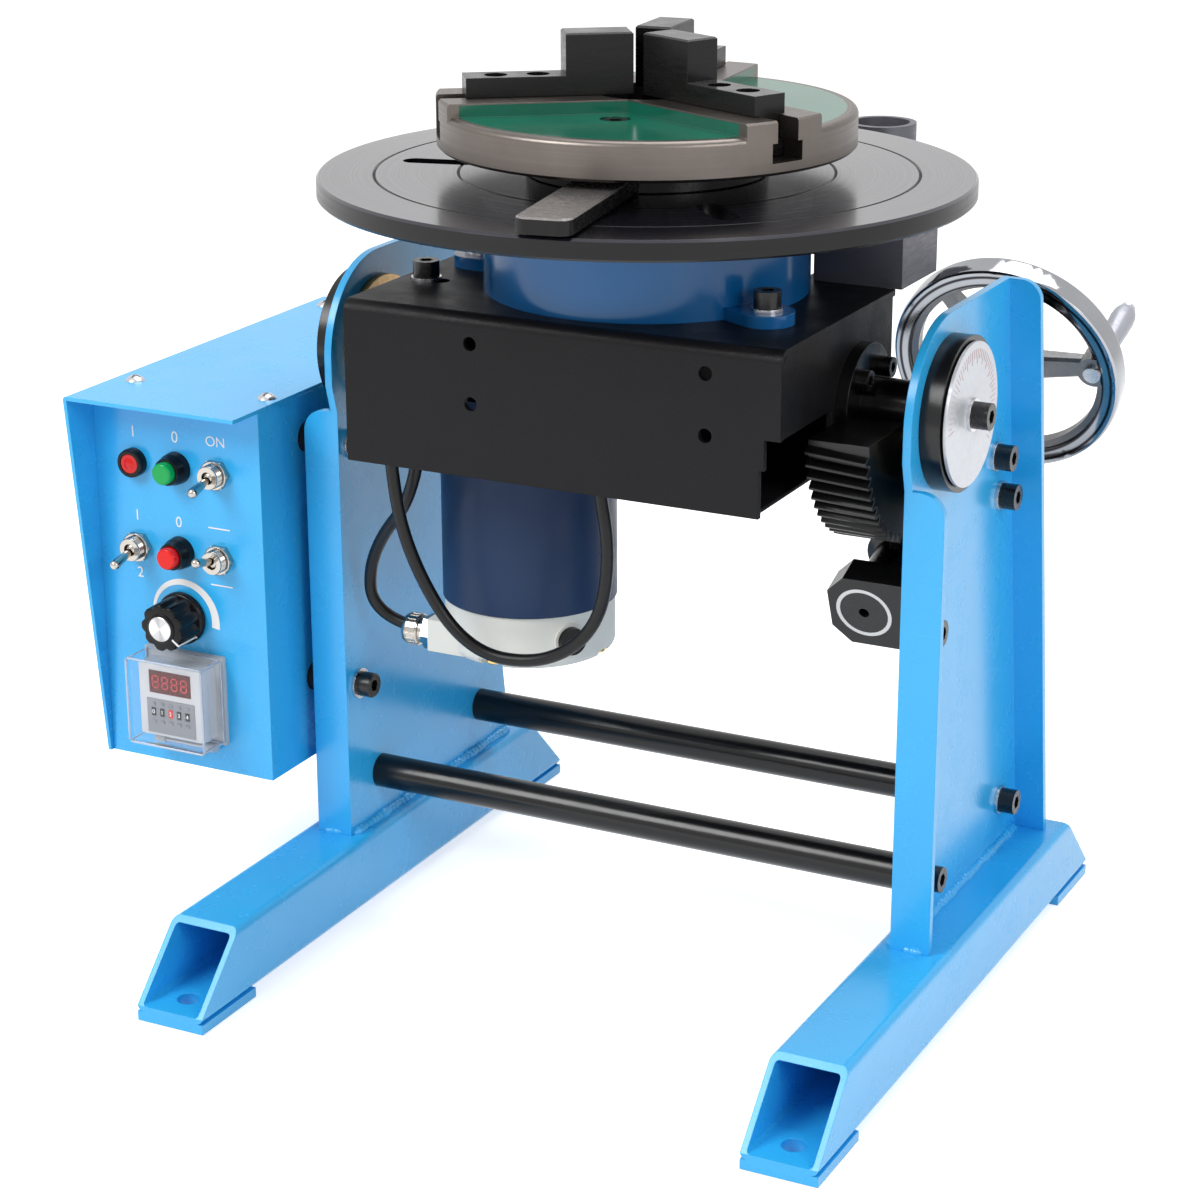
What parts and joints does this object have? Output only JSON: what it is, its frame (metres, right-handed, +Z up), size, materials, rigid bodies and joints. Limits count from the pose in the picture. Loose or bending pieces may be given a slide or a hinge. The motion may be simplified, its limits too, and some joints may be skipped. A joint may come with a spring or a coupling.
{
  "type": "welding positioner",
  "caption": "Benchtop welding positioner: motor-driven turntable with a self-centring jaw chuck on a hand-cranked worm-gear tilting box, in an open frame with a side control box.",
  "frame": {"origin": "floor, midway between the four foot holes; the tilt axis and the table's axis are 10 mm behind it", "axes": "+Z up, -Y to the operator's side, where the controls are, +X along the tilt axis to the handwheel and worm side"},
  "size_m": [0.472, 0.4065, 0.469],
  "materials": {
    "frame_blue": "satin",
    "drum_blue": "satin",
    "motor_blue": "satin",
    "cap_white": "satin",
    "black_paint": "satin",
    "black_steel": "blackened",
    "zinc": "plated",
    "steel": "ground",
    "table_steel": "turned",
    "cast_grey": "machined",
    "chrome": "polished",
    "bronze": "machined",
    "bearing_steel": "ground",
    "cast_alloy": "satin",
    "cable_grey": "matt",
    "plastic_black": "matt",
    "plastic_grey": "matt",
    "lens_red": "clear",
    "button_green": "gloss",
    "button_red": "gloss",
    "knob_black": "gloss",
    "clear_cover": "clear"
  },
  "bodies": {
    "base": {"feet": "frame_blue", "left_side_plate": "frame_blue", "right_side_plate": "frame_blue", "tie_rods": "black_paint", "frame_bolts": "black_steel", "frame_washers": "zinc", "bearing_housings": "black_paint", "trunnion_bushes": "bronze", "worm_blocks": "black_paint", "worm_bushes": "bronze", "control_chassis": "frame_blue", "control_cover": "frame_blue", "cover_screws": "zinc", "standoffs": "black_paint", "lamp_lens": "lens_red", "control_bezels": "chrome", "toggle_bodies": "plastic_black", "toggle_nuts": "zinc", "speed_pot": "zinc", "timer_body": "plastic_grey"},
    "tilt_body": {"tilt_box": "black_paint", "end_plates": "black_paint", "trunnion_shafts": "black_steel", "gear_sector": "black_paint", "angle_dial": "zinc", "tilt_bolts": "black_steel", "tilt_washers": "zinc", "bearing_drum": "drum_blue", "gearhead": "motor_blue", "motor_body": "motor_blue", "motor_cap": "cap_white", "brush_caps": "plastic_black", "cable_gland": "chrome", "motor_cable": "cable_grey", "supply_cable": "cable_grey", "terminal_box": "plastic_black", "torch_block": "steel", "torch_tube": "black_paint", "spindle_bearings": "bearing_steel"},
    "spindle_body": {"spindle": "steel", "spindle_gear": "steel", "table": "table_steel", "chuck_body": "cast_grey", "chuck_screws": "black_steel"},
    "pinion_body": {"pinion": "steel"},
    "scroll_body": {"scroll_lever": "steel"},
    "jaw_1_body": {"jaw_1": "black_steel"},
    "jaw_2_body": {"jaw_2": "black_steel"},
    "jaw_3_body": {"jaw_3": "black_steel"},
    "worm_body": {"worm_shaft": "steel", "handwheel": "cast_alloy", "grip_pin": "zinc"},
    "grip_body": {"crank_grip": "chrome"},
    "reset_body": {"reset_button": "button_green"},
    "lock_body": {"lock_button": "button_red"},
    "power_body": {"power_toggle": "chrome"},
    "mode_body": {"mode_toggle": "chrome"},
    "direction_body": {"direction_toggle": "chrome"},
    "speed_body": {"speed_knob": "knob_black"},
    "cover_body": {"timer_cover": "clear_cover"}
  },
  "joints": [
    {"name": "tilt", "type": "hinge", "parent": "base", "child": "tilt_body", "pos_m": [0, 0.01, 0.302], "axis": [1, 0, 0], "range_deg": [0, 90]},
    {"name": "worm_turn", "type": "hinge", "parent": "base", "child": "worm_body", "pos_m": [0.13, 0.03749, 0.23222], "axis": [0, 0.9304, 0.3665], "range_deg": [-5580, 0]},
    {"name": "grip_turn", "type": "hinge", "parent": "worm_body", "child": "grip_body", "pos_m": [0.17774, 0.17521, 0.29186], "axis": [0, 0.9304, 0.3665], "continuous": true},
    {"name": "table_turn", "type": "hinge", "parent": "tilt_body", "child": "spindle_body", "pos_m": [0, 0.01, 0.402], "axis": [0, 0, 1], "continuous": true},
    {"name": "pinion_turn", "type": "hinge", "parent": "tilt_body", "child": "pinion_body", "pos_m": [-0.048, 0.01, 0.355], "axis": [0, 0, 1], "continuous": true},
    {"name": "scroll_turn", "type": "hinge", "parent": "spindle_body", "child": "scroll_body", "pos_m": [0, 0.01, 0.409], "axis": [0, 0, 1], "range_deg": [0, 720]},
    {"name": "jaw_1_slide", "type": "slide", "parent": "spindle_body", "child": "jaw_1_body", "axis": [0.91, -0.4147, 0], "range_m": [0, 0.0201]},
    {"name": "jaw_2_slide", "type": "slide", "parent": "spindle_body", "child": "jaw_2_body", "axis": [-0.0958, 0.9954, 0], "range_m": [0, 0.0201]},
    {"name": "jaw_3_slide", "type": "slide", "parent": "spindle_body", "child": "jaw_3_body", "axis": [-0.8141, -0.5807, 0], "range_m": [0, 0.0201]},
    {"name": "reset_press", "type": "slide", "parent": "base", "child": "reset_body", "axis": [0, 1, 0], "range_m": [0, 0.003], "stiffness_N_per_m": 400},
    {"name": "lock_press", "type": "slide", "parent": "base", "child": "lock_body", "axis": [0, 1, 0], "range_m": [0, 0.003], "stiffness_N_per_m": 400},
    {"name": "power_flip", "type": "hinge", "parent": "base", "child": "power_body", "pos_m": [-0.205, -0.068, 0.243], "axis": [1, 0, 0], "range_deg": [-28, 0]},
    {"name": "mode_flip", "type": "hinge", "parent": "base", "child": "mode_body", "pos_m": [-0.255, -0.068, 0.198], "axis": [1, 0, 0], "range_deg": [-28, 0]},
    {"name": "direction_flip", "type": "hinge", "parent": "base", "child": "direction_body", "pos_m": [-0.205, -0.068, 0.198], "axis": [1, 0, 0], "range_deg": [0, 28]},
    {"name": "speed_turn", "type": "hinge", "parent": "base", "child": "speed_body", "pos_m": [-0.2295, -0.073, 0.163], "axis": [0, 1, 0], "range_deg": [-135, 135]},
    {"name": "cover_swing", "type": "hinge", "parent": "base", "child": "cover_body", "pos_m": [-0.229, -0.068, 0.0948], "axis": [1, 0, 0], "range_deg": [0, 100]}
  ],
  "couplings": [
    {"joint": "worm_turn", "follows": "tilt", "ratio": -62},
    {"joint": "pinion_turn", "follows": "table_turn", "ratio": -2},
    {"joint": "jaw_1_slide", "follows": "scroll_turn", "m_per_rad": 0.0015915},
    {"joint": "jaw_2_slide", "follows": "scroll_turn", "m_per_rad": 0.0015915},
    {"joint": "jaw_3_slide", "follows": "scroll_turn", "m_per_rad": 0.0015915}
  ]
}
